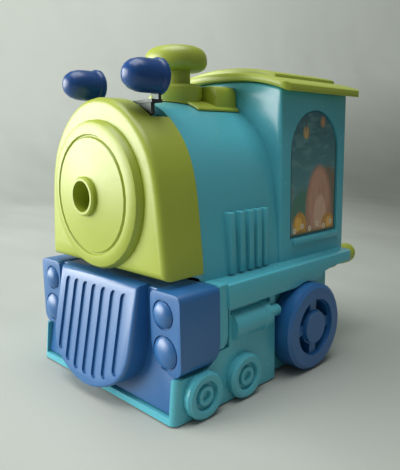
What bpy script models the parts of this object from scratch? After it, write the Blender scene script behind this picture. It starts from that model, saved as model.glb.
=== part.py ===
"""Train-shaped hand-crank desktop pencil sharpener.

Run with: blender --background --python part.py
The train faces -Y, +X is its left-hand side, +Z is up and the ground is Z = 0. The named
dimensions are in millimetres and MM turns them into Blender's metres. Y is measured from the
front of the lamp blocks, and Y_MID moves the whole train so that it is centred on the origin.
"""
import math

import bmesh
import bpy
from mathutils import Matrix, Vector

MM = 0.001
Y_MID = 55.32
GAP = 0.3                       # air left between neighbouring pieces

# --- base -------------------------------------------------------------------
BASE_HALF, BASE_REAR_HALF = 38.0, 34.2
BASE_FRONT, BASE_STEP, BASE_REAR = -0.9, 43.6, 80.0
BASE_TILT = 0.104               # the nose leans forward as it goes down
BASE_BOTTOM, BASE_FLOOR, BASE_TOP = 0.6, 2.6, 30.1
TUNNEL_HALF = 31.9              # inside of the drawer tunnel
MOUTH_HALF = 35.7               # wider mouth around the drawer front
LAMP_BACK = 16.3
SMALL_WHEEL_R, SMALL_WHEEL_FACE = 7.3, 40.8
SMALL_WHEELS = ((8.6, 7.35), (26.9, 7.45))
CYL_X, CYL_Y, CYL_Z, CYL_R = 35.4, (22.6, 37.4), 24.0, 5.0
ROD_KNOB_X, ROD_KNOB_Z, ROD_KNOB_R = 38.6, 25.2, 2.1

# --- upper shell ------------------------------------------------------------
WALL = 1.9
BOARD_HALF, BOARD_TOP, SKIRT_BOTTOM = 39.5, 38.5, 30.4
BOARD_FRONT, BOARD_REAR = 19.9, 92.2
ARCH = ((31.9, 41.3), (31.6, 47), (31.0, 53), (30.4, 59.5), (29.6, 66), (28.3, 72.5),
        (25.9, 78.6), (22.4, 83.8), (17.3, 88.9), (12.0, 92.2), (6.2, 94.3), (0, 95.0))
BOILER_Y, BOILER_IN = (16.6, 54.9), 0.35
CAB_HALF, CAB_Y = 32.4, (53.7, 94.9)
WINDOW_Y, WINDOW_Z, WINDOW_DEPTH = (59.2, 89.6), (46.0, 77.0), 1.3
WINDOW_RISE = 14.6
RIB_YS, RIB_W, RIB_Z = (28.8, 33.6, 38.0, 42.0, 45.8), 2.6, (39.0, 58.8)
ROOF_TOP = ((37.0, 99.3), (33, 100.85), (27, 102.6), (19, 104.15), (10, 105.05), (0, 105.37))
ROOF_DROP = 2.7
ROOF_Y = (50.4, 98.2)
SADDLE_Y = 42.9

# --- face carriage ----------------------------------------------------------
AXIS_Z = 64.6                   # pencil and crank axis
HOOD_Y, HOOD_BOTTOM, HOOD_WALL = (1.0, 16.3), 41.3, 1.8
RING_Y = 1.6                    # the disc and ring heights are counted from here
DISC_R, RING_R, BOSS_R, PENCIL_R = 18.5, 23.8, 6.2, 4.9
NOTCH_HALF, NOTCH_Y, NOTCH_Z = 18.6, 9.1, 88.5
PIVOT = (9.0, 77.0)
LEVER_Y = (9.8, 11.2)
CAP_X, CAP_Z = 16.6, 100.3
ROD_X, ROD_Z, ROD_R = 25.2, 58.0, 1.5
ROD_END, COLLAR_Y = 74.0, 68.0

# --- drawer -----------------------------------------------------------------
TRAY_HALF, TRAY_Y, TRAY_Z = 31.4, (5.2, 75.0), (3.1, 27.5)
PANEL_HALF, PANEL_Y, PANEL_Z = 35.3, (2.4, 4.9), (3.1, 38.6)
PANEL_NOSE, PANEL_KINK = -1.2, 23.1
LAMP_X, LAMP_Z = (26.0, 39.0), (14.4, 38.9)
LENSES = ((31.6, 32.2, 4.1), (32.2, 20.9, 4.9))
GRILLE_HALF, GRILLE_Z, GRILLE_TOP_Y, GRILLE_TILT = 22.0, (3.4, 39.0), -1.4, 0.2
SLOT_PITCH, SLOT_HALF, SLOT_TOP, SLOT_DEPTH = 5.35, 1.65, 36.0, 0.75

# --- running gear -----------------------------------------------------------
WHEEL_Y, WHEEL_Z, WHEEL_R, WHEEL_X = 60.2, 15.7, 15.5, (35.2, 43.5)

# --- mechanism --------------------------------------------------------------
RING_TEETH, PINION_TEETH, MODULE = 32, 10, 1.0
OFFSET = (RING_TEETH - PINION_TEETH) * MODULE / 2.0
GEAR_Y = (24.0, 28.6)
CARRIER_FRONT, CARRIER_REAR = (30.0, 32.4), (58.0, 61.0)
CRANK_Y = (98.8, 102.6)
KNOB_X, KNOB_Z, KNOB_R, KNOB_Y = 22.5, 31.2, 4.4, (103.2, 118.9)

GREEN, TEAL, BLUE = (0.47, 0.60, 0.07), (0.14, 0.47, 0.52), (0.035, 0.115, 0.44)
STEEL, RUBBER, GREY = (0.62, 0.62, 0.60), (0.04, 0.07, 0.24), (0.35, 0.36, 0.37)
MATERIALS = {
    "green_plastic": (GREEN, 0.28, 0.0), "teal_plastic": (TEAL, 0.26, 0.0),
    "blue_plastic": (BLUE, 0.28, 0.0), "cap_rubber": (RUBBER, 0.5, 0.0),
    "steel": (STEEL, 0.3, 1.0), "cutter_steel": ((0.45, 0.45, 0.46), 0.38, 1.0),
    "grey_plastic": (GREY, 0.5, 0.0), "foot_rubber": ((0.05, 0.05, 0.05), 0.8, 0.0),
    "printed_paper": ((0.10, 0.30, 0.34), 0.45, 0.0),
}

for old in list(bpy.data.objects):
    bpy.data.objects.remove(old, do_unlink=True)


def collection(name):
    made = bpy.data.collections.new(name)
    bpy.context.scene.collection.children.link(made)
    return made


TRAIN = collection("train_pencil_sharpener")
CUTTERS = collection("cutters")


def material(name):
    """The named Principled material, made once per piece so that each node owns its own."""
    colour, rough, metal = MATERIALS[name]
    made = bpy.data.materials.new(name)
    made.use_nodes = True
    shader = made.node_tree.nodes["Principled BSDF"]
    shader.inputs["Base Color"].default_value = (*colour, 1.0)
    shader.inputs["Roughness"].default_value = rough
    shader.inputs["Metallic"].default_value = metal
    return made


def at(x, y, z):
    return Vector((x, y - Y_MID, z)) * MM


def place(obj, stuff, home=CUTTERS):
    """Puts an object into the train, or hides it among the cutters when it has no material."""
    if stuff:
        home = TRAIN
        obj.data.materials.clear()
        obj.data.materials.append(material(stuff))
    else:
        obj.hide_render = True
        obj.display_type = "WIRE"
    home.objects.link(obj)
    return obj


def rounded(obj, width, segments=2, angle=40):
    """Rounds the sharp edges with a Bevel modifier."""
    bevel = obj.modifiers.new("rounded", "BEVEL")
    bevel.width = width * MM
    bevel.segments = segments
    bevel.limit_method = "ANGLE"
    bevel.angle_limit = math.radians(angle)
    bevel.use_clamp_overlap = True
    return obj


def combine(obj, tool, operation):
    mod = obj.modifiers.new(operation.lower() + "_" + tool.name, "BOOLEAN")
    mod.operation = operation
    mod.solver = "EXACT"
    mod.object = tool
    return obj


def welded(obj, distance=0.02):
    """Closes the hairline slivers that several Booleans can leave."""
    weld = obj.modifiers.new("welded", "WELD")
    weld.merge_threshold = distance * MM
    return obj


def cut(obj, *tools):
    for tool in tools:
        combine(obj, tool, "DIFFERENCE")
    return obj


def fuse(obj, *tools):
    for tool in tools:
        combine(obj, tool, "UNION")
    return obj


def box(name, x, y, z, stuff=None, edge=0.0, segments=2):
    """A box between the pairs x, y and z, from the cube primitive."""
    mesh = bpy.data.meshes.new(name)
    bm = bmesh.new()
    size = Vector((x[1] - x[0], y[1] - y[0], z[1] - z[0])) * MM
    bmesh.ops.create_cube(bm, size=1.0, matrix=Matrix.Diagonal((*size, 1.0)))
    bm.to_mesh(mesh)
    bm.free()
    obj = bpy.data.objects.new(name, mesh)
    obj.location = at((x[0] + x[1]) / 2, (y[0] + y[1]) / 2, (z[0] + z[1]) / 2)
    if edge:
        rounded(obj, edge, segments)
    return place(obj, stuff)


PLANES = {"XY": Matrix.Identity(4),
          "XZ": Matrix(((1, 0, 0, 0), (0, 0, -1, 0), (0, 1, 0, 0), (0, 0, 0, 1))),
          "YZ": Matrix(((0, 0, 1, 0), (1, 0, 0, 0), (0, 1, 0, 0), (0, 0, 0, 1)))}


def prism(name, outline, plane, span, stuff=None, edge=0.0, segments=2, pivot=None, hole=None):
    """A flat outline, less its hole, in the named plane and extruded along the third axis."""
    middle = (span[0] + span[1]) / 2
    curve = bpy.data.curves.new(name, "CURVE")
    curve.dimensions = "2D"
    curve.fill_mode = "BOTH"
    curve.extrude = (span[1] - span[0]) / 2 * MM
    pivot = pivot or (0.0, 0.0)
    for loop in (outline, hole) if hole else (outline,):
        spline = curve.splines.new("POLY")
        spline.points.add(len(loop) - 1)
        for point, (a, b) in zip(spline.points, loop):
            point.co = ((a - pivot[0]) * MM, (b - pivot[1]) * MM, 0.0, 1.0)
        spline.use_cyclic_u = True
    flat = bpy.data.objects.new(name + "_outline", curve)
    bpy.context.scene.collection.objects.link(flat)
    bpy.context.view_layer.update()
    graph = bpy.context.evaluated_depsgraph_get()
    mesh = bpy.data.meshes.new_from_object(flat.evaluated_get(graph))
    bpy.data.objects.remove(flat, do_unlink=True)
    bpy.data.curves.remove(curve)
    mesh.transform(PLANES[plane])
    bm = bmesh.new()
    bm.from_mesh(mesh)
    bmesh.ops.remove_doubles(bm, verts=bm.verts, dist=1e-6)
    bmesh.ops.dissolve_limit(bm, angle_limit=math.radians(0.5), verts=bm.verts,
                             edges=bm.edges)
    bmesh.ops.recalc_face_normals(bm, faces=bm.faces)
    bm.to_mesh(mesh)
    bm.free()
    mesh.name = name
    obj = bpy.data.objects.new(name, mesh)
    obj.location = {"XY": at(pivot[0], pivot[1], middle),
                    "XZ": at(pivot[0], middle, pivot[1]),
                    "YZ": at(middle, pivot[0], pivot[1])}[plane]
    if edge:
        rounded(obj, edge, segments)
    return place(obj, stuff)


TURNS = {"+Z": Matrix.Identity(4), "-Y": Matrix.Rotation(math.pi / 2, 4, "X"),
         "+Y": Matrix.Rotation(-math.pi / 2, 4, "X"), "+X": Matrix.Rotation(math.pi / 2, 4, "Y"),
         "-X": Matrix.Rotation(-math.pi / 2, 4, "Y")}


def turned(name, profile, centre, towards, stuff=None, steps=32, closed=False):
    """A profile of (radius, height) points, outer side top to bottom, turned by a Screw."""
    mesh = bpy.data.meshes.new(name)
    edges = [(i, i + 1) for i in range(len(profile) - 1)]
    if closed:
        edges.append((len(profile) - 1, 0))
    mesh.from_pydata([(r * MM, 0.0, h * MM) for r, h in profile], edges, [])
    obj = bpy.data.objects.new(name, mesh)
    obj.location = at(*centre)
    obj.rotation_euler = TURNS[towards].to_euler()
    screw = obj.modifiers.new("turned", "SCREW")
    screw.axis = "Z"
    screw.steps = steps
    screw.render_steps = steps
    screw.use_merge_vertices = True
    screw.merge_threshold = 0.00001
    return place(obj, stuff)


def rod(name, r, centre, towards, length, stuff=None, steps=24, chamfer=0.0):
    """A plain turned pin that starts at the centre and runs along the direction."""
    c = chamfer
    profile = [(0, length), (r - c, length), (r, length - c), (r, c), (r - c, 0), (0, 0)]
    if not c:
        profile = [(0, length), (r, length), (r, 0), (0, 0)]
    return turned(name, profile, centre, towards, stuff, steps)


def tube(name, r_in, r_out, centre, towards, length, stuff=None, steps=32):
    profile = [(r_in, length), (r_out, length), (r_out, 0), (r_in, 0)]
    return turned(name, profile, centre, towards, stuff, steps, closed=True)


def smooth(points, per=3):
    """A Catmull-Rom line through the points, for outlines that are drawn by hand."""
    line = []
    for i in range(len(points) - 1):
        p0 = points[max(i - 1, 0)]
        p1, p2 = points[i], points[i + 1]
        p3 = points[min(i + 2, len(points) - 1)]
        for k in range(per):
            t = k / per
            line.append(tuple(
                0.5 * (2 * b + (c - a) * t + (2 * a - 5 * b + 4 * c - d) * t * t
                       + (3 * b - a - 3 * c + d) * t ** 3)
                for a, b, c, d in zip(p0, p1, p2, p3)))
    return line + [points[-1]]


def mirrored(half):
    """A closed outline from its +X half, which ends on the middle line."""
    return list(half) + [(-x, z) for x, z in reversed(half) if x > 1e-6]


def grown(points, by):
    """The half outline moved out by a distance along its own normals, inwards if negative."""
    moved = []
    for i, p in enumerate(points):
        a, b = points[max(i - 1, 0)], points[min(i + 1, len(points) - 1)]
        dx, dz = b[0] - a[0], b[1] - a[1]
        if i == len(points) - 1:
            dx, dz = -1.0, 0.0
        length = math.hypot(dx, dz)
        moved.append((p[0] + dz / length * by, p[1] - dx / length * by))
    moved[-1] = (0.0, moved[-1][1])
    return moved


def arch(by=0.0, bottom=None, per=2):
    """The shared smokebox and boiler outline, grown by a distance, down to the bottom."""
    half = grown(smooth(ARCH, per), by)
    if bottom is not None:
        half = [(half[0][0], bottom)] + [p for p in half if p[1] > bottom + 0.2]
    return mirrored(half)


def arc(cx, cz, r, start, end, count=6):
    return [(cx + r * math.cos(math.radians(start + (end - start) * i / count)),
             cz + r * math.sin(math.radians(start + (end - start) * i / count)))
            for i in range(count + 1)]


def rounded_box_outline(a, b, r, count=4):
    """A rectangle from a to b with the corner radii r, from lower left anticlockwise."""
    (ax, az), (bx, bz) = a, b
    return (arc(ax + r[0], az + r[0], r[0], 180, 270, count)
            + arc(bx - r[1], az + r[1], r[1], 270, 360, count)
            + arc(bx - r[2], bz - r[2], r[2], 0, 90, count)
            + arc(ax + r[3], bz - r[3], r[3], 90, 180, count))


def bevel_where(obj, test, width, segments=3):
    """Rounds only the edges whose two ends pass the test, given in train millimetres."""
    bm = bmesh.new()
    bm.from_mesh(obj.data)
    home = obj.location

    def train(v):
        p = (v.co + home) / MM
        return p.x, p.y + Y_MID, p.z

    chosen = [e for e in bm.edges if all(test(*train(v)) for v in e.verts)
              and e.calc_face_angle(0.0) > 0.5]
    bmesh.ops.bevel(bm, geom=chosen, offset=width * MM, segments=segments, profile=0.5,
                    affect="EDGES", clamp_overlap=True)
    bm.to_mesh(obj.data)
    bm.free()
    return obj


def side_name(side):
    return "left" if side > 0 else "right"


SIDES = (1, -1)


# --- base -------------------------------------------------------------------
def build_base():
    h, rh = BASE_HALF, BASE_REAR_HALF
    half = [(rh, BASE_REAR), (rh, BASE_STEP), (h, BASE_STEP)]
    half += arc(h - 2.4, BASE_FRONT + 2.4, 2.4, 0, -90, 5)
    plan = half + [(-x, y) for x, y in reversed(half)]
    base = prism("base", plan, "XY", (BASE_BOTTOM, BASE_TOP), "teal_plastic")
    lean(base, BASE_FRONT + 5.0, BASE_TILT, 15.0)
    fuse(base, box("base_rim", (-rh, rh), (24, BASE_REAR), (20, 35.4)))
    for side in SIDES:
        tag = side_name(side)
        towards = "+X" if side > 0 else "-X"
        for i, (y, z) in enumerate(SMALL_WHEELS):
            wheel = turned(f"small_wheel_{tag}_{i}", small_wheel_profile(), (side * 36.4, y, z),
                           towards, steps=18)
            fuse(base, wheel)
        recess = sorted((side * 36.6, side * 45))
        cut(base, box("cylinder_shade_" + tag, recess, (21.5, 41.0), (28.3, 33.0)))
        fuse(base, cylinder_block(side, tag), rod_knob(side, tag))
    cut(base,
        box("base_mouth", (-MOUTH_HALF, MOUTH_HALF), (-5, 16.8), (BASE_FLOOR, 40)),
        box("base_tunnel", (-TUNNEL_HALF, TUNNEL_HALF), (10, BASE_REAR - 2.2),
            (BASE_FLOOR, 40)))
    seat = [(-5, 14.0)] + arc(9.4, 21.0, 7.0, 270, 360, 5) + [(LAMP_BACK + 0.1, 40), (-5, 40)]
    cut(base, prism("base_lamp_seat", seat, "YZ", (-45, 45)))
    for side in SIDES:
        tag = side_name(side)
        outer = (35.6, 45) if side > 0 else (-45, -35.6)
        cut(base, box("leg_room_" + tag, outer, (14, 21.0), (18.2, 40)),
            rod("axle_hole_" + tag, 2.3, (side * 30, WHEEL_Y, WHEEL_Z), "+X" if side > 0 else "-X",
                8, steps=16))
    for i, (x, y) in enumerate(FEET):
        cut(base, rod(f"foot_pocket_{i}", 5.4, (x, y, 0.0), "+Z", 1.9, steps=18))
    for side in SIDES:
        cut(base, rod("screw_pocket_" + side_name(side), 2.3, (side * 34.6, 33.0, 0.0), "+Z",
                      2.4, steps=14))
    return base


def small_wheel_profile():
    """Tyre ring, groove, inner ring and dimple, as heights above the base's side."""
    top = SMALL_WHEEL_FACE - 36.4
    return [(0, top - 1.5), (1.4, top - 1.5), (1.7, top - 0.4), (2.9, top - 0.4),
            (3.2, top - 1.6), (4.2, top - 1.6), (4.6, top - 0.2), (5.2, top), (6.5, top),
            (SMALL_WHEEL_R, top - 0.8), (SMALL_WHEEL_R, 0), (0, 0)]


def cylinder_block(side, tag):
    """The steam cylinder and its end ring, moulded on the base's side."""
    profile = [(0, 17.6), (4.4, 17.6), (5.4, 17.0), (5.4, 14.6), (CYL_R, 14.2), (CYL_R, 0),
               (0, 0)]
    return turned("steam_cylinder_" + tag, profile, (side * CYL_X, CYL_Y[0], CYL_Z), "+Y",
                  steps=18)


def rod_knob(side, tag):
    """The round end of the piston rod, which stands out behind the cylinder."""
    r = ROD_KNOB_R
    profile = [(0, 6.6), (0.9, 6.4), (1.6, 5.9), (r, 5.1), (r, 0), (0, 0)]
    return turned("rod_knob_" + tag, profile, (side * ROD_KNOB_X, 38.4, ROD_KNOB_Z), "+Y",
                  steps=14)


FEET = ((28.0, 7.0), (-28.0, 7.0), (28.0, 72.0), (-28.0, 72.0))


# --- upper shell ------------------------------------------------------------
def roof_under(by=0.0):
    half = [(x, z - ROOF_DROP - by) for x, z in smooth(ROOF_TOP, 2)]
    return half


def cab_outline(by, bottom):
    """The cab's walls under the arched roof, moved in by a wall thickness."""
    top = [(x, z) for x, z in roof_under(GAP + by) if x < CAB_HALF - by - 0.5]
    edge = [(x, z) for x, z in roof_under(GAP + by) if x >= CAB_HALF - by - 0.5][-1]
    return mirrored([(CAB_HALF - by, bottom), (CAB_HALF - by, edge[1])] + top)


def window_outline(by=0.0):
    y0, y1 = WINDOW_Y[0] + by, WINDOW_Y[1] - by
    half = (y1 - y0) / 2
    middle = (y0 + y1) / 2
    top = [(middle + half * math.cos(t * math.pi / 14),
            WINDOW_Z[1] + (WINDOW_RISE - by) * math.sin(t * math.pi / 14)) for t in range(15)]
    return [(y0, WINDOW_Z[0] + by), (y1, WINDOW_Z[0] + by)] + top


def build_shell():
    bh = BOARD_HALF
    half = arc(bh - 4, BOARD_REAR - 4, 4, 90, 0, 4) + [(bh, BOARD_FRONT)]
    plan = half + [(-x, y) for x, y in reversed(half)]
    shell = prism("upper_shell", plan, "XY", (SKIRT_BOTTOM, BOARD_TOP), "teal_plastic", 0.7)
    fuse(shell, box("shell_front", (-38.4, 38.4), (16.7, 21.3), (SKIRT_BOTTOM, 38.7), edge=0.5))
    leg = [(16.45, 38.4), (16.45, 21.6), (16.3, 20.0), (15.9, 18.9), (17.8, 18.6), (19.6, 19.8),
           (20.4, 22.4), (20.4, 38.4)]
    for side in SIDES:
        xs = sorted((side * 35.9, side * 38.4))
        fuse(shell, prism("shell_leg_" + side_name(side), leg, "YZ", xs, edge=0.4))
    fuse(shell, prism("boiler", arch(-BOILER_IN, bottom=37.0), "XZ", BOILER_Y))
    fuse(shell, prism("cab", cab_outline(0.0, 37.0), "XZ", CAB_Y, edge=0.9, segments=3))
    for side in SIDES:
        tag = side_name(side)
        xs = sorted((side * 29.5, side * 32.9))
        for i, y in enumerate(RIB_YS):
            fuse(shell, box(f"boiler_rib_{tag}_{i}", xs, (y - RIB_W / 2, y + RIB_W / 2), RIB_Z,
                            edge=0.6))
        xs = sorted((side * 31.5, side * 33.3))
        fuse(shell, box("sill_" + tag, xs, (60.8, 90.8), (43.5, 45.8), edge=0.7))
    cut(shell,
        prism("boiler_inside", arch(-BOILER_IN - WALL, bottom=28.0, per=1), "XZ", (15, 60)),
        prism("cab_inside", cab_outline(WALL, 40.6), "XZ", (CAB_Y[0] + WALL, 99)),
        box("board_inside", (-34.7, 34.7), (22.6, 90.0), (28, 36.2)),
        box("chute", (-28, 28), (50, 74), (34, 44)))
    rise = [(63, 25), (63, 30.0), (66, 30.5), (68.6, 31.7), (71.2, 33.4), (76, 34.2), (84, 34.6),
            (95, 34.8), (95, 25)]
    cut(shell, prism("skirt_rise", rise, "YZ", (-45, 45)),
        rod("wheel_room_left", 16.1, (34.9, WHEEL_Y, WHEEL_Z), "+X", 10, steps=40),
        rod("wheel_room_right", 16.1, (-34.9, WHEEL_Y, WHEEL_Z), "-X", 10, steps=40))
    for side in SIDES:
        xs = sorted((side * (CAB_HALF - WINDOW_DEPTH), side * 36))
        cut(shell, prism("window_" + side_name(side), window_outline(), "YZ", xs))
    return welded(shell)


def build_body_pieces():
    half = roof_under()
    top = smooth(ROOF_TOP, 2)
    outline = list(half) + [(-x, z) for x, z in reversed(half) if x > 0]
    outline += [(-x, z) for x, z in top] + [(x, z) for x, z in reversed(top) if x > 0]
    roof = prism("roof", outline, "XZ", ROOF_Y, "green_plastic")
    rounded(roof, 0.9, 2)
    reach = ROOF_TOP[0][0] + 0.05
    corners = rounded_box_outline((-reach, ROOF_Y[0] - 0.05), (reach, ROOF_Y[1] + 0.05),
                                  (3.6, 3.6, 3.6, 3.6), 5)
    combine(roof, prism("roof_plan", corners, "XY", (90.0, 112.0)), "INTERSECT")
    raised = [(x, z + 2.4 - 1.3 * (x / 27.5) ** 2) for x, z in top if x < 27.5]
    low = [(x, z - 1.0) for x, z in top if x < 27.5]
    panel = raised + [(-x, z) for x, z in reversed(raised) if x > 0]
    panel += [(-x, z) for x, z in low] + [(x, z) for x, z in reversed(low) if x > 0]
    fuse(roof, prism("roof_panel", panel, "XZ", (57.0, 94.7), edge=0.6))

    chimney_profile = [(0, 113.8), (4.5, 113.65), (7.6, 113.1), (9.6, 112.1), (10.6, 110.7),
                       (10.9, 109.2), (10.9, 107.4), (10.3, 106.2), (9.0, 105.4), (4.9, 105.2),
                       (4.9, 100.6), (8.2, 100.4), (9.0, 99.5), (9.1, 96.6), (8.6, 95.4),
                       (8.6, 88.0), (0, 88.0)]
    chimney = turned("chimney", chimney_profile, (0, 35.5, 0), "+Z", "green_plastic", 26)
    foot = [(13.6, 87.0), (13.6, 91.9)] + [p for p in grown(smooth(ARCH, 2), 0.75) if p[0] < 13]
    saddle = mirrored([(12.5, 88.0), (12.2, 98.0), (11.2, 99.7), (9.2, 100.2), (0.0, 100.2)])
    fuse(chimney, prism("saddle", saddle, "XZ", (SADDLE_Y, CAB_Y[0] - GAP), edge=0.6),
         prism("saddle_foot", mirrored(foot), "XZ", (33.0, CAB_Y[0] - GAP - 0.2)))
    cut(chimney, prism("boiler_top", arch(GAP - BOILER_IN, bottom=60.0), "XZ", (15, 60)))

    cover = prism("rear_cover", cab_outline(WALL + GAP, 41.2), "XZ", (92.8, 94.8), "teal_plastic")
    cut(cover, rod("bush_seat", 5.6, (0, 85, AXIS_Z), "+Y", 12))
    for side in SIDES:
        tag = side_name(side)
        xs = sorted((side * (CAB_HALF - WINDOW_DEPTH + GAP), side * (CAB_HALF - 0.55)))
        prism("sticker_" + tag, window_outline(0.5), "YZ", xs, "printed_paper")
        cut(cover, rod("cover_screw_hole_" + tag, 1.7, (side * 22, 85, 90), "+Y", 12))
        screw = turned("cover_screw_" + tag,
                       [(0, 1.9), (2.0, 1.7), (2.9, 1.0), (3.0, 0.3), (1.4, 0.3), (1.4, -7),
                        (0, -7)], (side * 22, 94.8, 90), "+Y", "steel", 14)
        cut(screw, *cross_slot("cover_slot_" + tag, (side * 22, 96.5, 90), "Y"))
    for i, (x, y) in enumerate(FEET):
        rod(f"foot_{i + 1}", 5.0, (x, y, 0.0), "+Z", 1.6, "foot_rubber", 18, 0.3)
    for side in SIDES:
        tag = side_name(side)
        screw = rod("base_screw_" + tag, 2.0, (side * 34.6, 33.0, 0.9), "+Z", 1.2, "steel", 14, 0.2)
        cut(screw, *cross_slot("base_slot_" + tag, (side * 34.6, 33.0, 1.0), "Z"))


def cross_slot(name, centre, axis):
    """Two crossed bars that cut a cross-head recess."""
    bars = []
    for i, (a, b) in enumerate(((1.5, 0.3), (0.3, 1.5))):
        reach = {"Y": (a, 0.6, b), "Z": (a, b, 0.5)}[axis]
        spans = [(c - r, c + r) for c, r in zip(centre, reach)]
        bars.append(box(f"{name}_{i}", *spans))
    return bars


# --- face carriage ----------------------------------------------------------
def build_hood():
    hood = prism("face_hood", arch(bottom=HOOD_BOTTOM), "XZ", HOOD_Y, "green_plastic")
    bevel_where(hood, lambda x, y, z: y < HOOD_Y[0] + 0.1, 2.2, 3)
    profile = [(PENCIL_R, 6.9), (5.7, 6.9), (BOSS_R, 6.4), (BOSS_R, 5.3), (12, 4.7),
               (DISC_R - 0.5, 3.8), (DISC_R, 3.1), (18.8, 3.1), (19.2, 3.7), (21.2, 3.7),
               (22.8, 2.9), (RING_R - 0.2, 1.4), (RING_R, -1.3), (PENCIL_R, -1.3)]
    cut(hood, prism("hood_inside", arch(-HOOD_WALL, bottom=HOOD_BOTTOM + HOOD_WALL, per=1), "XZ",
                    (3.8, 20)),
        rod("hood_mouth", 11.0, (0, 8, AXIS_Z), "-Y", 20, steps=26))
    fuse(hood, turned("smokebox_ring", profile, (0, RING_Y, AXIS_Z), "-Y", steps=34,
                      closed=True))
    cut(hood, box("lever_notch", (-NOTCH_HALF, NOTCH_HALF), (NOTCH_Y, 20), (NOTCH_Z, 105)))
    return welded(hood)


def build_carriage():
    outline = [(-27.6, 50), (27.6, 50), (27.6, 63), (22, 74), (14, 81.5), (-14, 81.5), (-22, 74),
               (-27.6, 63)]
    plate = prism("jaw_plate", outline, "XZ", (14.8, 16.0), "steel")
    cut(plate, rod("jaw_plate_hole", 5.4, (0, 10, AXIS_Z), "+Y", 10))
    for side in SIDES:
        tag = side_name(side)
        cut(plate, rod("rod_hole_" + tag, ROD_R + GAP, (side * ROD_X, 10, ROD_Z), "+Y", 10))
        rod_profile = [(0, ROD_END), (ROD_R, ROD_END), (ROD_R, COLLAR_Y + 2.4),
                       (2.6, COLLAR_Y + 2.4), (2.6, COLLAR_Y), (ROD_R, COLLAR_Y), (ROD_R, 4.3),
                       (0, 4.3)]
        turned("guide_rod_" + tag, rod_profile, (side * ROD_X, 0, ROD_Z), "+Y", "steel", 16)
        rod("pivot_pin_" + tag, 1.5, (side * PIVOT[0], 4.3, PIVOT[1]), "+Y", 10.2, "steel", 16)
        coil(f"return_spring_{tag}", (side * ROD_X, 20.4, ROD_Z), "+Y", 2.15, 0.4, 47.2, 6)
    coil("lever_spring", (-11.2, 11.7, 90.2), "+X", 1.7, 0.35, 22.4, 6)


def coil(name, start, towards, radius, wire, length, turns):
    """A compression spring as a beveled curve, turned into a mesh with welded caps."""
    curve = bpy.data.curves.new(name, "CURVE")
    curve.dimensions = "3D"
    curve.bevel_depth = wire * MM
    curve.bevel_resolution = 1
    curve.use_fill_caps = True
    spline = curve.splines.new("POLY")
    count = turns * 8
    spline.points.add(count)
    for i, point in enumerate(spline.points):
        angle = i * 2 * math.pi / 8
        along = wire + (length - 2 * wire) * i / count
        point.co = (radius * MM * math.cos(angle), radius * MM * math.sin(angle), along * MM, 1)
    flat = bpy.data.objects.new(name + "_wire", curve)
    bpy.context.scene.collection.objects.link(flat)
    bpy.context.view_layer.update()
    graph = bpy.context.evaluated_depsgraph_get()
    mesh = bpy.data.meshes.new_from_object(flat.evaluated_get(graph))
    bpy.data.objects.remove(flat, do_unlink=True)
    bpy.data.curves.remove(curve)
    bm = bmesh.new()
    bm.from_mesh(mesh)
    bmesh.ops.remove_doubles(bm, verts=bm.verts, dist=1e-6)
    bmesh.ops.recalc_face_normals(bm, faces=bm.faces)
    bm.to_mesh(mesh)
    bm.free()
    mesh.name = name
    obj = bpy.data.objects.new(name, mesh)
    obj.location = at(*start)
    obj.rotation_euler = TURNS[towards].to_euler()
    return place(obj, "steel")


def build_lever(side):
    """One squeeze lever with its rubber cap and jaw pad, turning about its pivot pin."""
    tag = side_name(side)
    outline = [(17.2, 93.7), (17.2, 89.2), (14.3, 88.4), (14.3, 83.0), (14.0, 79.5), (13.4, 75),
               (11.0, 70), (9.0, 60.4), (4.6, 60.4), (4.4, 66), (5.2, 70.5), (4.8, 76.5),
               (6.6, 81), (11.5, 88), (11.5, 93.7)]
    outline = [(side * x, z) for x, z in outline]
    pivot = (side * PIVOT[0], PIVOT[1])
    lever = prism("lever_" + tag, outline, "XZ", LEVER_Y, "steel", pivot=pivot)
    cut(lever, rod("pivot_hole_" + tag, 1.8, (side * PIVOT[0], 5, PIVOT[1]), "+Y", 12, steps=20))
    foot, riser = (sorted((side * a, side * b)) for a, b in ((8.6, 18.0), (15.0, 17.8)))
    fuse(lever, box("lever_foot_" + tag, foot, (LEVER_Y[0] - 0.3, 13.7), (92.6, 93.55)),
         box("lever_riser_" + tag, riser, (12.3, 13.4), (93.1, 101.0)))
    cap_profile = [(0, 13.8), (1.7, 13.5), (3.2, 12.6), (4.3, 11.0), (4.85, 9.0), (5.0, 7.0),
                   (5.0, 2.6), (5.3, 2.3), (5.5, 1.9), (5.5, 0.7), (5.1, 0.3), (0, 0.3)]
    cap = turned("lever_cap_" + tag, cap_profile, (side * CAP_X, 14.5, CAP_Z), "-Y", "cap_rubber",
                 22)
    xs = sorted((side * 14.7, side * 18.1))
    cut(cap, box("cap_slot_" + tag, xs, (12.0, 13.7), (90.0, 101.3)))
    xs = sorted((side * 2.2, side * 8.4))
    pad = box("jaw_pad_" + tag, xs, (11.5, 14.4), (60.6, 68.6), "steel")
    cut(pad, rod("jaw_grip_" + tag, 3.7, (0, 10, AXIS_Z), "+Y", 6, steps=20))


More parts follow.
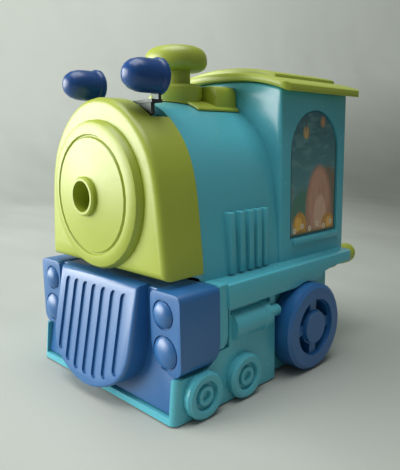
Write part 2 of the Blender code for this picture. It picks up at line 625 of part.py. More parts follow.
# --- drawer -----------------------------------------------------------------
def build_drawer():
    y0, y1 = TRAY_Y
    nose = LAMP_X[0] - 0.6
    tray = box("drawer_tray", (-TRAY_HALF, TRAY_HALF), (LAMP_BACK + 0.3, y1), TRAY_Z,
               "blue_plastic")
    fuse(tray, box("tray_nose", (-nose, nose), (y0, 22), TRAY_Z))
    floor = (TRAY_Z[0] + 1.6, 40)
    cut(tray, box("tray_inside", (-TRAY_HALF + 1.6, TRAY_HALF - 1.6), (LAMP_BACK + 1.9, y1 - 1.6),
                  floor),
        box("tray_nose_inside", (-nose + 1.6, nose - 1.6), (y0 + 1.6, 24), floor))
    (y0, y1), (z0, z1) = PANEL_Y, PANEL_Z
    side_view = [(PANEL_NOSE, z0), (y1, z0), (y1, z1), (y0, z1), (y0, PANEL_KINK)]
    front = prism("drawer_front", side_view, "YZ", (-PANEL_HALF, PANEL_HALF), "blue_plastic", 0.4)
    fuse(front, box("drawer_shelf", (-LAMP_X[0] - 1.5, LAMP_X[0] + 1.5),
                    (PANEL_Y[1] - 0.6, LAMP_BACK - 0.4), (36.7, 38.5)))
    for side in SIDES:
        tag = side_name(side)
        fuse(front, lamp_block(side, tag))
        for i, (x, z, r) in enumerate(LENSES):
            groove = tube(f"lens_groove_{tag}_{i}", r - 0.05, r + 0.45, (side * x, 0.6, z), "-Y", 2,
                          steps=18)
            dome = [(0, 1.7), (r * 0.35, 1.55), (r * 0.65, 1.15), (r * 0.88, 0.55), (r - 0.1, 0),
                    (r - 0.1, -1.5), (0, -1.5)]
            cut(front, groove)
            fuse(front, turned(f"lens_{tag}_{i}", dome, (side * x, 0.0, z), "-Y", steps=16))
        xs = sorted((side * 27.8, side * 37.2))
        cut(front, box("lamp_pocket_" + tag, xs, (PANEL_Y[1], 20), (19.0, 37.2)))
    fuse(front, grille())
    for i in range(7):
        x = (i - 3) * SLOT_PITCH
        cut(front, grille_slot(i, x))


def lamp_block(side, tag):
    x0, x1 = LAMP_X
    z0, z1 = LAMP_Z
    face = rounded_box_outline((x0, z0), (x1, z1), (9.0, 3.4, 2.2, 2.2))
    face = [(side * x, z) for x, z in face]
    block = prism("lamp_block_" + tag, face, "XZ", (0, 16.0))
    profile = rounded_box_outline((-1, z0 - 1e-2), (16.0, z1 + 1e-2), (0.5, 6.5, 1.0, 0.5))
    combine(block, prism("lamp_side_" + tag, profile, "YZ", sorted((side * 20, side * 45))),
            "INTERSECT")
    return rounded(block, 1.4, 3, 50)


def grille_outline(inset=0.0):
    h, z0, z1 = GRILLE_HALF - inset, GRILLE_Z[0] + inset, GRILLE_Z[1] - inset
    low = [(1.0, 16.0), (0.975, 12.0), (0.91, 8.8), (0.79, 5.8), (0.62, 3.4), (0.42, 1.6),
           (0.2, 0.4), (0.0, 0.0)]
    half = [(h, z1)] + smooth([(h * f, z0 + up) for f, up in low], 2)
    return mirrored(half)


def lean(obj, back, tilt=GRILLE_TILT, level=GRILLE_Z[1]):
    """Leans the front of a piece forward below a level, leaving what is behind in place."""
    bm = bmesh.new()
    bm.from_mesh(obj.data)
    home = obj.location / MM
    for v in bm.verts:
        y, z = v.co.y / MM + home.y + Y_MID, v.co.z / MM + home.z
        if y < back:
            v.co.y -= tilt * (level - z) * MM
    bm.to_mesh(obj.data)
    bm.free()
    return obj


def grille():
    plate = prism("grille", grille_outline(), "XZ", (GRILLE_TOP_Y, PANEL_Y[0] + 1.0))
    bevel_where(plate, lambda x, y, z: y < GRILLE_TOP_Y + 0.1, 1.3, 3)
    return lean(plate, PANEL_Y[0])


def grille_slot(i, x):
    reach = abs(x) / GRILLE_HALF
    bottom = GRILLE_Z[0] + 3.4 + 10.5 * max(0.0, reach - 0.15) ** 1.8
    outline = (arc(x, SLOT_TOP - SLOT_HALF, SLOT_HALF, 0, 180, 5)
               + arc(x, bottom + SLOT_HALF, SLOT_HALF, 180, 360, 5))
    slot = prism(f"grille_slot_{i}", outline, "XZ", (GRILLE_TOP_Y - 3, GRILLE_TOP_Y + SLOT_DEPTH))
    return lean(slot, 20)


# --- running gear and mechanism ----------------------------------------------
def build_wheel(side):
    tag = side_name(side)
    towards = "+X" if side > 0 else "-X"
    w = WHEEL_X[1] - WHEEL_X[0]
    profile = [(0, w), (5.7, w), (6.0, w - 1.4), (10.0, w - 1.4), (10.2, w), (14.2, w),
               (WHEEL_R, w - 1.0), (WHEEL_R, 0.6), (15.0, 0.0), (2.2, 0.0), (2.2, 6.3), (0, 6.3)]
    wheel = turned("rear_wheel_" + tag, profile, (side * WHEEL_X[0], WHEEL_Y, WHEEL_Z), towards,
                   "blue_plastic", 34)
    for k in range(4):
        start = k * 90 + 12
        window = arc(WHEEL_Y, WHEEL_Z, 9.7, start, start + 66, 6)
        window += arc(WHEEL_Y, WHEEL_Z, 6.3, start + 62, start + 4, 5)
        cut(wheel, prism(f"wheel_window_{tag}_{k}", window, "YZ", sorted((side * 33, side * 45))))
    rod("stub_axle_" + tag, 1.95, (side * 32.3, WHEEL_Y, WHEEL_Z), towards, 8.9, "steel", 20, 0.3)


def gear_outline(teeth, root, tip, centre, offset_deg, share_root=0.27, share_tip=0.13):
    """Straight-sided teeth, thin enough to leave backlash, about the centre."""
    points = []
    for k in range(teeth):
        middle = offset_deg + k * 360.0 / teeth
        for r, share in ((root, -share_root), (tip, -share_tip), (tip, share_tip),
                         (root, share_root)):
            a = math.radians(middle + share * 360.0 / teeth)
            points.append((centre[0] + r * math.cos(a), centre[1] + r * math.sin(a)))
    return points


def build_mechanism():
    bulk = prism("front_bulkhead", arch(-BOILER_IN - WALL - GAP, bottom=39.2, per=1), "XZ", (17.0, 20.0),
                 "teal_plastic")
    cut(bulk, rod("guide_seat", 6.9, (0, 15, AXIS_Z), "+Y", 8))
    for side in SIDES:
        cut(bulk, rod("rod_bush_" + side_name(side), ROD_R + 0.25, (side * ROD_X, 15, ROD_Z), "+Y",
                      8, steps=20))
    guide = [(5.0, 5.4), (6.6, 5.4), (6.6, 0.0), (5.0, 0.0)]
    turned("pencil_guide", guide, (0, 16.8, AXIS_Z), "+Y", "grey_plastic", 32, closed=True)

    ring_pitch, pinion_pitch = RING_TEETH * MODULE / 2, PINION_TEETH * MODULE / 2
    tube("gear_spacer", 17.6, 19.6, (0, 20.3, AXIS_Z), "+Y", 3.0, "grey_plastic", 32)
    teeth = gear_outline(RING_TEETH, ring_pitch - 0.75, ring_pitch + 1.35, (0, AXIS_Z), -90)
    prism("ring_gear", arc(0, AXIS_Z, 19.6, 0, 348.75, 31), "XZ", (23.6, 29.2), "grey_plastic",
          hole=teeth)

    centre = (0.0, AXIS_Z - OFFSET)
    teeth = gear_outline(PINION_TEETH, pinion_pitch - 1.1, pinion_pitch + 0.75, centre, -90,
                         0.245, 0.11)
    pinion = prism("cutter_pinion", teeth, "XZ", GEAR_Y, "grey_plastic", pivot=centre)
    cut(pinion, rod("pinion_bore", 1.5, (0, 20, centre[1]), "+Y", 12, steps=16))
    cutter = helical_cutter(centre)
    cut(cutter, rod("cutter_bore", 1.5, (0, 30, centre[1]), "+Y", 40, steps=16))
    rod("cutter_axle", 1.2, (0, 23.6, centre[1]), "+Y", 38.0, "steel", 16, 0.2)

    # carrier: two discs, two bars and the shaft that the crank turns
    f0, f1 = CARRIER_FRONT
    r0, r1 = CARRIER_REAR
    carrier = rod("cutter_carrier", 14.4, (0, f0, AXIS_Z), "+Y", f1 - f0, "grey_plastic", 30)
    fuse(carrier, rod("carrier_back", 14.4, (0, r0, AXIS_Z), "+Y", r1 - r0, steps=30),
         box("carrier_bar_left", (10.9, 13.6), (f0 + 1, r0 + 1), (AXIS_Z + 0.5, AXIS_Z + 4.5)),
         box("carrier_bar_right", (-13.6, -10.9), (f0 + 1, r0 + 1), (AXIS_Z + 0.5, AXIS_Z + 4.5)),
         rod("carrier_shaft", 3.0, (0, r1 - 1, AXIS_Z), "+Y", 101.2 - r1 + 1, steps=24))
    cut(carrier, rod("carrier_mouth", 5.2, (0, 25, AXIS_Z), "+Y", 12, steps=23),
        rod("carrier_axle_hole", 1.5, (0, 25, centre[1]), "+Y", 40, steps=16))
    tube("shaft_bush", 3.3, 5.3, (0, 91.4, AXIS_Z), "+Y", 4.0, "grey_plastic", 28)


def helical_cutter(centre):
    """A fluted cone: one star-shaped ring, extruded, turned and scaled step by step."""
    steps, length, flutes = 8, 23.0, 12
    r_front, r_back = 6.9, 10.2
    mesh = bpy.data.meshes.new("cutter")
    bm = bmesh.new()
    bmesh.ops.create_circle(bm, cap_ends=True, radius=1.0, segments=flutes * 2)
    for i, v in enumerate(bm.verts):
        v.co *= (1.0 if i % 2 == 0 else 0.86) * r_front * MM
    face = bm.faces[:][0]
    step = length / steps * MM
    for k in range(steps):
        made = bmesh.ops.extrude_face_region(bm, geom=[face])
        verts = [g for g in made["geom"] if isinstance(g, bmesh.types.BMVert)]
        bmesh.ops.delete(bm, geom=[face], context="FACES_ONLY") if k else None
        face = [g for g in made["geom"] if isinstance(g, bmesh.types.BMFace)][0]
        before = r_front + (r_back - r_front) * k / steps
        after = r_front + (r_back - r_front) * (k + 1) / steps
        bmesh.ops.translate(bm, verts=verts, vec=(0, 0, step))
        bmesh.ops.rotate(bm, verts=verts, cent=(0, 0, 0),
                         matrix=Matrix.Rotation(math.radians(9), 3, "Z"))
        bmesh.ops.scale(bm, verts=verts, vec=(after / before, after / before, 1.0))
    bmesh.ops.recalc_face_normals(bm, faces=bm.faces)
    bm.to_mesh(mesh)
    bm.free()
    obj = bpy.data.objects.new("cutter", mesh)
    obj.location = at(centre[0], 33.6, centre[1])
    obj.rotation_euler = TURNS["+Y"].to_euler()
    return place(obj, "cutter_steel")


def build_crank():
    """The crank arm with its hub, screw, knob pin and turning knob."""
    reach = math.hypot(KNOB_X, AXIS_Z - KNOB_Z)
    heading = math.degrees(math.atan2(KNOB_Z - AXIS_Z, KNOB_X))
    outline = (arc(0, AXIS_Z, 7.0, heading + 84, heading + 276, 10)
               + arc(KNOB_X, KNOB_Z, 4.6, heading - 86, heading + 86, 8))
    arm = prism("crank_arm", outline, "XZ", CRANK_Y, "green_plastic", 0.8, 1,
                pivot=(0.0, AXIS_Z))
    fuse(arm, rod("crank_hub", 6.4, (0, 95.9, AXIS_Z), "+Y", 7.7, steps=28, chamfer=0.5))
    cut(arm, rod("hub_bore", 3.3, (0, 93, AXIS_Z), "+Y", 8.6, steps=24))
    screw = turned("crank_screw", [(0, 2.0), (2.2, 1.8), (3.2, 1.0), (3.4, 0.0), (0, 0.0)],
                   (0, 103.9, AXIS_Z), "+Y", "steel", 16)
    cut(screw, *cross_slot("crank_slot", (0, 105.9, AXIS_Z), "Y"))
    y0, y1 = KNOB_Y
    length = y1 - y0
    profile = [(0, length), (1.8, length - 0.3), (3.2, length - 1.3), (4.1, length - 2.9),
               (KNOB_R, length - 4.6), (4.3, length - 9), (3.8, 5.5), (3.4, 2.0), (3.6, 0.5),
               (3.2, 0), (0, 0)]
    knob = turned("crank_knob", profile, (KNOB_X, y0, KNOB_Z), "+Y", "green_plastic", 20)
    cut(knob, rod("knob_bore", 1.8, (KNOB_X, y0 - 2, KNOB_Z), "+Y", 14, steps=16))
    rod("knob_pin", 1.5, (KNOB_X, CRANK_Y[1] + GAP, KNOB_Z), "+Y", 11.5, "steel", 16, 0.2)
    return reach


build_base()
build_shell()
build_body_pieces()
build_hood()
build_carriage()
for train_side in SIDES:
    build_lever(train_side)
    build_wheel(train_side)
build_drawer()
build_mechanism()
build_crank()
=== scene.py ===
import math

import bmesh
import bpy
from mathutils import Matrix, Vector


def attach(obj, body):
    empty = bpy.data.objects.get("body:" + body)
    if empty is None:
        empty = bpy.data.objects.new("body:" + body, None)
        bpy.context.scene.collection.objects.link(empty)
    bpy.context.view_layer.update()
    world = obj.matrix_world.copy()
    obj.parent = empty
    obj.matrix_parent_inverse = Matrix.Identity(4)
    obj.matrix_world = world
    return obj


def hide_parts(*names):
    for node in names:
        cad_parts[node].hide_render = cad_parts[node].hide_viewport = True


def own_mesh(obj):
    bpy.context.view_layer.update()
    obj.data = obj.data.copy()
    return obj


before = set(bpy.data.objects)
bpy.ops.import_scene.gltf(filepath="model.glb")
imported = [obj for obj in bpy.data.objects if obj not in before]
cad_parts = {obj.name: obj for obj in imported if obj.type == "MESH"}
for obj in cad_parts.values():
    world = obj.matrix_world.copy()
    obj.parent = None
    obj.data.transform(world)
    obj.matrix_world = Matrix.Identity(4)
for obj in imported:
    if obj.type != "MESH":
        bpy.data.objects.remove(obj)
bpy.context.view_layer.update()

MM = 0.001
Y_MID = 55.32                   # the CAD's offset from the lamp fronts to the origin


def at(x, y, z):
    """A point in millimetres, Y measured from the front of the lamp blocks, as metres."""
    return Vector((x, y - Y_MID, z)) * MM


def linear(rgb):
    """An sRGB colour of 0 to 255 as linear values."""
    out = []
    for c in rgb:
        c /= 255.0
        out.append(c / 12.92 if c <= 0.04045 else ((c + 0.055) / 1.055) ** 2.4)
    return (*out, 1.0)


def shade_smooth(mesh):
    mesh.polygons.foreach_set("use_smooth", [True] * len(mesh.polygons))


def add_object(name, data):
    obj = bpy.data.objects.new(name, data)
    bpy.context.scene.collection.objects.link(obj)
    return obj


# --- materials ----------------------------------------------------------------
PLASTIC_IOR = 1.5
DUST_COLOUR = (0.8, 0.8, 0.77, 1.0)
GLOW_RADII, GLOW_DEPTH = (0.6, 0.6, 0.4), 0.0015    # how far light spreads inside the plastic


def times(colour, factor, lift=0.0):
    """A linear colour made darker or lighter, clipped at white."""
    return tuple(min(1.0, c * factor + lift) for c in colour[:3]) + (1.0,)


class Graph:
    """A small helper to wire a material's nodes."""

    def __init__(self, name):
        self.material = bpy.data.materials.new(name)
        self.material.use_nodes = True
        self.tree = self.material.node_tree
        self.shader = self.tree.nodes["Principled BSDF"]
        self.coord = self.tree.nodes.new("ShaderNodeTexCoord").outputs["Object"]

    def add(self, kind, **inputs):
        node = self.tree.nodes.new("ShaderNode" + kind)
        for key, value in inputs.items():
            key = key.replace("_", " ")
            if hasattr(value, "links"):
                self.tree.links.new(value, node.inputs[key])
            else:
                node.inputs[key].default_value = value
        return node

    def noise(self, scale, detail=2.0, stretch=None, rough=0.5):
        vector = self.coord
        if stretch:
            mapping = self.add("Mapping", Vector=vector)
            mapping.inputs["Scale"].default_value = stretch
            vector = mapping.outputs["Vector"]
        made = self.add("TexNoise", Vector=vector, Scale=scale, Detail=detail, Roughness=rough)
        return made.outputs["Fac"]

    def math(self, operation, a, b=None, c=None, clamp=False):
        node = self.tree.nodes.new("ShaderNodeMath")
        node.operation = operation
        node.use_clamp = clamp
        for slot, value in zip(node.inputs, (a, b, c)):
            if value is None:
                continue
            if hasattr(value, "links"):
                self.tree.links.new(value, slot)
            else:
                slot.default_value = value
        return node.outputs[0]

    def spread(self, value, lo, hi, new_lo, new_hi):
        node = self.tree.nodes.new("ShaderNodeMapRange")
        for key, number in (("From Min", lo), ("From Max", hi), ("To Min", new_lo),
                            ("To Max", new_hi)):
            node.inputs[key].default_value = number
        self.tree.links.new(value, node.inputs["Value"])
        return node.outputs["Result"]

    def mix(self, factor, a, b):
        node = self.tree.nodes.new("ShaderNodeMix")
        node.data_type = "RGBA"
        for key, value in (("Factor", factor), ("A", a), ("B", b)):
            socket = [s for s in node.inputs if s.name == key
                      and s.type in (("VALUE",) if key == "Factor" else ("RGBA",))][0]
            if hasattr(value, "links"):
                self.tree.links.new(value, socket)
            else:
                socket.default_value = value
        return [s for s in node.outputs if s.type == "RGBA"][0]

    def to(self, socket, value):
        self.tree.links.new(value, self.shader.inputs[socket])

    def bump(self, *layers):
        """Adds (height, strength, distance) layers on top of each other."""
        normal = None
        for height, strength, distance in layers:
            node = self.add("Bump", Height=height, Strength=strength, Distance=distance)
            if normal:
                self.tree.links.new(normal, node.inputs["Normal"])
            normal = node.outputs["Normal"]
        self.to("Normal", normal)


def plastic(name, rgb, rough, gloss, soft, peel=0.05):
    """Moulded glossy plastic: faint flow marks, orange peel, fine scuffs and a little dust."""
    g = Graph(name)
    base = linear(rgb)
    tone = g.spread(g.noise(14.0, 2.0), 0.3, 0.7, 0.0, 1.0)
    colour = g.mix(tone, times(base, 0.95), times(base, 1.04, 0.003))
    dust = g.spread(g.noise(1100.0, 2.0, rough=0.7), 0.66, 0.80, 0.0, 0.05)
    g.to("Base Color", g.mix(dust, colour, DUST_COLOUR))
    scuff = g.spread(g.noise(420.0, 4.0, rough=0.7), 0.52, 0.78, 0.0, 1.0)
    scuffed = g.math("MULTIPLY_ADD", scuff, 0.10, rough - 0.04)
    g.to("Roughness", g.math("MULTIPLY_ADD", g.noise(30.0, 2.0), 0.08, scuffed, clamp=True))
    g.shader.inputs["Specular IOR Level"].default_value = gloss
    g.shader.inputs["IOR"].default_value = PLASTIC_IOR
    if soft:
        g.shader.inputs["Subsurface Weight"].default_value = soft
        g.shader.inputs["Subsurface Radius"].default_value = GLOW_RADII
        g.shader.inputs["Subsurface Scale"].default_value = GLOW_DEPTH
    g.bump((g.noise(700.0, 2.0), peel, 0.00004), (g.noise(38.0, 1.0), 0.05, 0.0005),
           (scuff, 0.04, 0.00002))
    return g.material


def rubber(name, rgb, rough):
    """Satin moulded rubber with a fine grain and rubbed lighter patches."""
    g = Graph(name)
    base = linear(rgb)
    rub = g.spread(g.noise(120.0, 4.0), 0.5, 0.8, 0.0, 0.35)
    g.to("Base Color", g.mix(rub, base, times(base, 1.35, 0.01)))
    g.to("Roughness", g.spread(g.noise(300.0, 3.0), 0.3, 0.7, rough - 0.06, rough + 0.10))
    g.bump((g.noise(1500.0, 2.0), 0.25, 0.00004), (g.noise(90.0, 2.0), 0.1, 0.0003))
    return g.material


def metal(name, rgb, rough, stretch=(1.0, 1.0, 0.06)):
    """Drawn or stamped steel with fine grain lines and a little tarnish."""
    g = Graph(name)
    base = linear(rgb)
    grain = g.noise(2600.0, 3.0, stretch, 0.6)
    stain = g.spread(g.noise(140.0, 4.0), 0.55, 0.75, 0.0, 0.4)
    g.to("Base Color", g.mix(stain, base, times(base, 0.6)))
    g.to("Roughness", g.spread(grain, 0.3, 0.7, rough - 0.08, rough + 0.12))
    g.shader.inputs["Metallic"].default_value = 1.0
    g.bump((grain, 0.15, 0.00002))
    return g.material


GREEN = plastic("green_plastic", (160, 174, 48), 0.42, 0.85, 0.05)
TEAL = plastic("teal_plastic", (84, 175, 190), 0.22, 0.55, 0.05)
BLUE = plastic("blue_plastic", (30, 95, 154), 0.36, 0.85, 0.03)
CAP = rubber("cap_rubber", (18, 66, 126), 0.30)
FOOT = rubber("foot_rubber", (38, 38, 40), 0.7)
GREY = plastic("grey_plastic", (150, 152, 152), 0.45, 0.4, 0.0, 0.2)
STEEL = metal("lever_steel", (84, 89, 88), 0.46)
BRIGHT = metal("spring_steel", (205, 206, 206), 0.22, (1.0, 1.0, 1.0))
BLADE = metal("cutter_steel", (150, 151, 154), 0.34, (1.0, 0.1, 1.0))


PICTURE_Y, PICTURE_FOOT = 74.4, 46.0    # the picture's middle and its lower edge
PICTURE_HALF, PICTURE_RIM = 14.0, 1.1   # where its plain border starts, beside and below
FLOWERS, FLOWER_START, FLOWER_PITCH = 6, -11.6, 4.7

# Ovals painted in this order, in mm from the picture's middle and foot: place across, place up,
# half width, half height and colour.
SCENERY = (
    # two paper lanterns and their cords
    (-5.4, 37.6, 1.9, 2.3, (182, 152, 108)), (-5.4, 37.6, 0.9, 2.2, (204, 171, 119)),
    (5.2, 41.6, 1.7, 2.1, (165, 130, 103)), (5.2, 41.6, 0.8, 2.0, (190, 149, 114)),
    (-5.4, 40.2, 0.25, 2.6, (95, 95, 81)), (5.2, 44.6, 0.25, 2.6, (95, 95, 81)),
    # two far hills
    (-6.5, 9.0, 7.5, 8.0, (78, 130, 114)), (9.5, 13.0, 8.0, 12.0, (125, 114, 97)),
    # a hay stack with a lighter middle
    (3.6, 9.0, 8.6, 16.5, (179, 136, 114)), (3.6, 12.0, 6.6, 12.5, (198, 152, 127)),
    (4.4, 8.0, 4.0, 6.4, (217, 176, 149)),
    # a bush on each side
    (-8.6, 3.8, 4.2, 5.2, (204, 152, 70)), (-9.4, 4.6, 2.0, 2.8, (239, 184, 84)),
    (9.8, 3.2, 4.2, 4.2, (201, 146, 78)), (10.6, 3.6, 1.9, 2.2, (233, 182, 97)),
)


def window_picture():
    """The window's printed picture: a plain landscape with lanterns, hills, hay and flowers."""
    g = Graph("printed_sticker")
    split = g.add("SeparateXYZ", Vector=g.coord)
    middle = at(0, PICTURE_Y, 0).y
    across = g.math("MULTIPLY", g.math("SUBTRACT", split.outputs["Y"], middle), 1000.0)
    up = g.math("MULTIPLY_ADD", split.outputs["Z"], 1000.0, -PICTURE_FOOT)

    def band(value, edge, soft=0.35):
        return g.spread(value, edge - soft, edge + soft, 0.0, 1.0)

    def disc(cy, cz, ry, rz, soft=0.08):
        a = g.math("DIVIDE", g.math("SUBTRACT", across, cy), ry)
        b = g.math("DIVIDE", g.math("SUBTRACT", up, cz), rz)
        r = g.math("SQRT", g.math("ADD", g.math("MULTIPLY", a, a), g.math("MULTIPLY", b, b)))
        return g.math("SUBTRACT", 1.0, band(r, 1.0, soft))

    sky = g.mix(g.spread(up, 4.0, 44.0, 0.0, 1.0), linear((98, 150, 152)), linear((62, 110, 122)))
    cloud = g.spread(g.noise(150.0, 3.0, (1.0, 1.0, 2.6)), 0.50, 0.66, 0.0, 0.45)
    picture = g.mix(cloud, sky, linear((122, 166, 166)))
    for cy, cz, ry, rz, rgb in SCENERY:
        picture = g.mix(disc(cy, cz, ry, rz), picture, linear(rgb))
    straw = g.spread(g.noise(620.0, 3.0, (1.0, 1.0, 0.25), 0.7), 0.5, 0.68, 0.0, 0.35)
    low = g.math("MULTIPLY", straw, g.math("SUBTRACT", 1.0, band(up, 24.0, 3.0)))
    picture = g.mix(low, picture, linear((150, 100, 80)))
    grass = g.math("ADD", up, g.math("MULTIPLY", g.noise(420.0, 2.0), 2.4))
    ground = g.math("SUBTRACT", 1.0, band(grass, 3.0))
    picture = g.mix(ground, picture, linear((156, 126, 70)))
    for k in range(FLOWERS):
        cy, cz = FLOWER_START + FLOWER_PITCH * k, 2.4 + 1.3 * (k % 2)
        picture = g.mix(disc(cy, cz, 1.0, 1.0, 0.2), picture, linear((228, 214, 192)))
        picture = g.mix(disc(cy, cz, 0.4, 0.4, 0.2), picture, linear((214, 156, 72)))
    border = g.math("MAXIMUM", band(g.math("ABSOLUTE", across), PICTURE_HALF, 0.15),
                    g.math("SUBTRACT", 1.0, band(up, PICTURE_RIM, 0.15)))
    picture = g.mix(border, picture, linear((58, 92, 92)))
    dots = g.spread(g.noise(3000.0, 1.0), 0.4, 0.6, 0.0, 0.08)
    g.to("Base Color", g.mix(dots, picture, linear((30, 44, 46))))
    g.to("Roughness", g.spread(g.noise(200.0, 2.0), 0.3, 0.7, 0.34, 0.46))
    g.bump((g.noise(700.0, 2.0), 0.1, 0.00003))
    return g.material


PICTURE = window_picture()

# Which material each CAD node has.
LOOKS = {
    GREEN: ("roof", "chimney", "face_hood", "crank_arm", "crank_knob"),
    TEAL: ("base", "upper_shell", "rear_cover", "front_bulkhead"),
    BLUE: ("drawer_front", "drawer_tray", "rear_wheel_left", "rear_wheel_right"),
    CAP: ("lever_cap_left", "lever_cap_right"),
    FOOT: ("foot_1", "foot_2", "foot_3", "foot_4"),
    GREY: ("cutter_pinion", "cutter_carrier", "ring_gear", "gear_spacer", "pencil_guide",
           "shaft_bush"),
    BRIGHT: ("return_spring_left", "return_spring_right", "lever_spring", "guide_rod_left",
             "guide_rod_right", "pivot_pin_left", "pivot_pin_right", "knob_pin", "cutter_axle",
             "crank_screw", "stub_axle_left", "stub_axle_right", "base_screw_left",
             "base_screw_right", "cover_screw_left", "cover_screw_right"),
    STEEL: ("lever_left", "lever_right", "jaw_pad_left", "jaw_pad_right", "jaw_plate"),
    BLADE: ("cutter",),
    PICTURE: ("sticker_left", "sticker_right"),
}


CREASE_ANGLE = math.radians(32.0)
WELD_GAP = 0.004 * MM


def soften(obj):
    """Joins a CAD mesh's split corners and shades it smoothly between its sharp creases."""
    mesh = obj.data
    for name in ("custom_normal", "sharp_face", "sharp_edge"):
        found = mesh.attributes.get(name)
        if found:
            mesh.attributes.remove(found)
    shade_smooth(mesh)
    weld = obj.modifiers.new("weld", "WELD")
    weld.merge_threshold = WELD_GAP
    split = obj.modifiers.new("creases", "EDGE_SPLIT")
    split.split_angle = CREASE_ANGLE
    split.use_edge_sharp = False


for look, names in LOOKS.items():
    for name in names:
        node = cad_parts[name]
        node.data.materials.clear()
        node.data.materials.append(look)
        soften(node)


# --- springs ------------------------------------------------------------------
END_TURNS = 1.25                # close-wound turns at each end
CLOSE_PITCH = 2.1               # the pitch of a close-wound turn, in wire radii
TURN_STEPS, WIRE_SIDES = 40, 10


def coil_rings(start, along, radius, wire, length, turns):
    """The wire's cross-sections from one end of the spring to the other, as points in metres."""
    side = Vector((0, 0, 1))
    other = along.cross(side)
    ends = 2 * END_TURNS
    tight = ends * CLOSE_PITCH * wire
    steps = TURN_STEPS * turns
    for i in range(steps + 1):
        turn = turns * i / steps
        inner = min(max(turn - END_TURNS, 0.0), turns - ends) / (turns - ends)
        closed = min(turn, END_TURNS) + max(turn - (turns - END_TURNS), 0.0)
        reach = wire + closed / ends * tight + inner * (length - 2 * wire - tight)
        angle = 2 * math.pi * turn
        out = side * math.cos(angle) + other * math.sin(angle)
        centre = start + out * radius + along * reach
        slants = [2 * math.pi * k / WIRE_SIDES for k in range(WIRE_SIDES)]
        yield [at(*(centre + (out * math.cos(a) + along * math.sin(a)) * wire)) for a in slants]


def spring(node, body, start, along, radius, wire, length, turns):
    """A wound compression spring with close end coils, in place of the plain CAD coil."""
    bm = bmesh.new()
    rings = [[bm.verts.new(point) for point in ring]
             for ring in coil_rings(Vector(start), Vector(along), radius, wire, length, turns)]
    for r0, r1 in zip(rings, rings[1:]):
        for k in range(WIRE_SIDES):
            after = (k + 1) % WIRE_SIDES
            bm.faces.new((r0[k], r0[after], r1[after], r1[k]))
    bm.faces.new(rings[0])
    bm.faces.new(list(reversed(rings[-1])))
    bmesh.ops.recalc_face_normals(bm, faces=bm.faces)
    mesh = bpy.data.meshes.new(node + "_wound")
    bm.to_mesh(mesh)
    bm.free()
    shade_smooth(mesh)
    mesh.materials.append(BRIGHT)
    obj = add_object(node + "_wound", mesh)
    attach(obj, body)
    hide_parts(node)
    return obj


for side, x in (("left", 25.2), ("right", -25.2)):
    coil = spring("return_spring_" + side, "chassis", start=(x, 20.4, 58.0), along=(0, 1, 0),
                  radius=2.15, wire=0.4, length=47.2, turns=7)
    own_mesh(coil)
coil = spring("lever_spring", "face_carriage", start=(-11.2, 11.7, 90.2), along=(1, 0, 0),
              radius=1.7, wire=0.35, length=22.4, turns=7)
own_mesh(coil)


# --- floor and backdrop (metres) ------------------------------------------------
SWEEP_YAW = math.radians(46)
FLOOR_REACH = 4.0               # how far the floor runs towards the camera, and to each side
SWEEP_START, SWEEP_RADIUS, WALL_TOP = 0.55, 0.45, 2.0
SWEEP_STEPS = 12


def pale_cloth(side):
    """Matt cloth with painted light: lighter as it rises, and a painted shadow darkens it towards
    the right of the picture.
    """
    g = Graph("pale_cloth")
    tone = g.spread(g.noise(3.5, 3.0), 0.3, 0.7, 0.0, 1.0)
    cloth = g.mix(tone, linear((166, 171, 164)), linear((176, 180, 174)))
    split = g.add("SeparateXYZ", Vector=g.coord)
    # painted light: the cloth is made lighter with height, standing in for the brighter light on
    # the rising backdrop
    painted_height_light = g.spread(split.outputs["Z"], 0.02, 0.40, 0.0, 1.0)
    cloth = g.mix(painted_height_light, cloth, linear((200, 205, 198)))
    # painted shadow: a darker colour mixed in towards the picture's right, fading out as the
    # cloth rises
    sideways = g.math("ADD", g.math("MULTIPLY", split.outputs["X"], side.x),
                      g.math("MULTIPLY", split.outputs["Y"], side.y))
    shade = g.math("MULTIPLY", g.spread(sideways, 0.0, 0.24, 0.0, 0.9),
                   g.spread(split.outputs["Z"], 0.02, 0.22, 1.0, 0.15))
    g.to("Base Color", g.mix(shade, cloth, linear((112, 116, 106))))
    g.shader.inputs["Roughness"].default_value = 0.85
    g.shader.inputs["Specular IOR Level"].default_value = 0.2
    g.bump((g.noise(5.0, 2.0, (1.0, 1.6, 1.0)), 0.35, 0.02), (g.noise(1800.0, 1.0), 0.1, 0.0002))
    return g.material


def backdrop():
    """A pale cloth sweep: flat under the train and curving up behind it."""
    profile = [(-FLOOR_REACH, 0.0), (SWEEP_START, 0.0)]
    for i in range(1, SWEEP_STEPS + 1):
        a = math.radians(90 * i / SWEEP_STEPS)
        profile.append((SWEEP_START + SWEEP_RADIUS * math.sin(a),
                        SWEEP_RADIUS - SWEEP_RADIUS * math.cos(a)))
    profile.append((SWEEP_START + SWEEP_RADIUS, WALL_TOP))
    away = Vector((-math.sin(SWEEP_YAW), math.cos(SWEEP_YAW), 0.0))
    side = Vector((away.y, -away.x, 0.0))
    bm = bmesh.new()
    rows = []
    for d, h in profile:
        rows.append([bm.verts.new(away * d + side * (FLOOR_REACH * k) + Vector((0, 0, h)))
                     for k in (-1, -0.5, 0, 0.5, 1)])
    for r0, r1 in zip(rows, rows[1:]):
        for k in range(len(r0) - 1):
            bm.faces.new((r0[k], r0[k + 1], r1[k + 1], r1[k]))
    mesh = bpy.data.meshes.new("floor_sweep")
    bm.to_mesh(mesh)
    bm.free()
    shade_smooth(mesh)
    mesh.materials.append(pale_cloth(side))
    obj = add_object("floor_sweep", mesh)


backdrop()


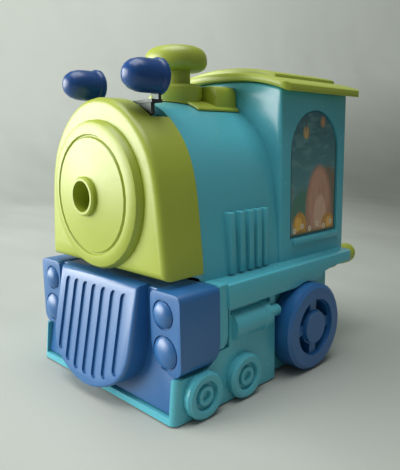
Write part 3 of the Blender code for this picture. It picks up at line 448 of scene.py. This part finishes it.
# --- lights (metres and watts) --------------------------------------------------
def area_light(name, place, target, size, power, colour):
    """A rectangular lamp that faces its target and isn't seen by the camera."""
    light = bpy.data.lights.new(name, "AREA")
    light.shape = "RECTANGLE"
    light.size, light.size_y = size
    light.energy = power
    light.color = colour
    obj = add_object(name, light)
    obj.location = place
    obj.rotation_mode = "QUATERNION"
    obj.rotation_quaternion = (Vector(target) - Vector(place)).to_track_quat("-Z", "Y")
    obj.visible_camera = False


def soft_room(colour, strength):
    """The even light of the room, as the world's colour."""
    world = bpy.data.worlds.new("soft_room")
    world.use_nodes = True
    background = world.node_tree.nodes["Background"].inputs
    background["Color"].default_value = colour
    background["Strength"].default_value = strength
    bpy.context.scene.world = world


area_light("window_light", place=(-0.66, -0.66, 0.27), target=(0.0, 0.0, 0.06), size=(1.0, 0.52),
           power=14.5, colour=(1.0, 1.0, 0.97))
area_light("top_fill", place=(0.0, -0.10, 1.0), target=(0.0, 0.0, 0.05), size=(0.8, 0.8),
           power=9.0, colour=(0.97, 0.99, 1.0))
soft_room(colour=(0.86, 0.90, 0.90, 1.0), strength=0.22)
bpy.context.scene.view_settings.view_transform = "Standard"
bpy.context.scene.view_settings.look = "None"


# --- camera -------------------------------------------------------------------
YAW, PITCH, ROLL = math.radians(46.03), math.radians(9.87), math.radians(-0.93)
CAMERA_PLACE = at(141.02, -90.21, 79.82)
LENS, SENSOR = 39.62, 36.0      # millimetres


def aimed_camera():
    """The photo's camera, found by fitting it to the train's corners."""
    ahead = Vector((-math.sin(YAW) * math.cos(PITCH), math.cos(YAW) * math.cos(PITCH),
                    -math.sin(PITCH)))
    right = Vector((math.cos(YAW), math.sin(YAW), 0.0))
    up = right.cross(ahead)
    across = right * math.cos(ROLL) + up * math.sin(ROLL)
    upward = up * math.cos(ROLL) - right * math.sin(ROLL)
    camera = add_object("camera", bpy.data.cameras.new("camera"))
    camera.data.sensor_width = SENSOR
    camera.data.lens = LENS
    camera.data.clip_start = 0.01
    turn = Matrix((across, upward, -ahead)).transposed().to_4x4()
    camera.matrix_world = Matrix.Translation(CAMERA_PLACE) @ turn
    return camera


bpy.context.scene.camera = aimed_camera()
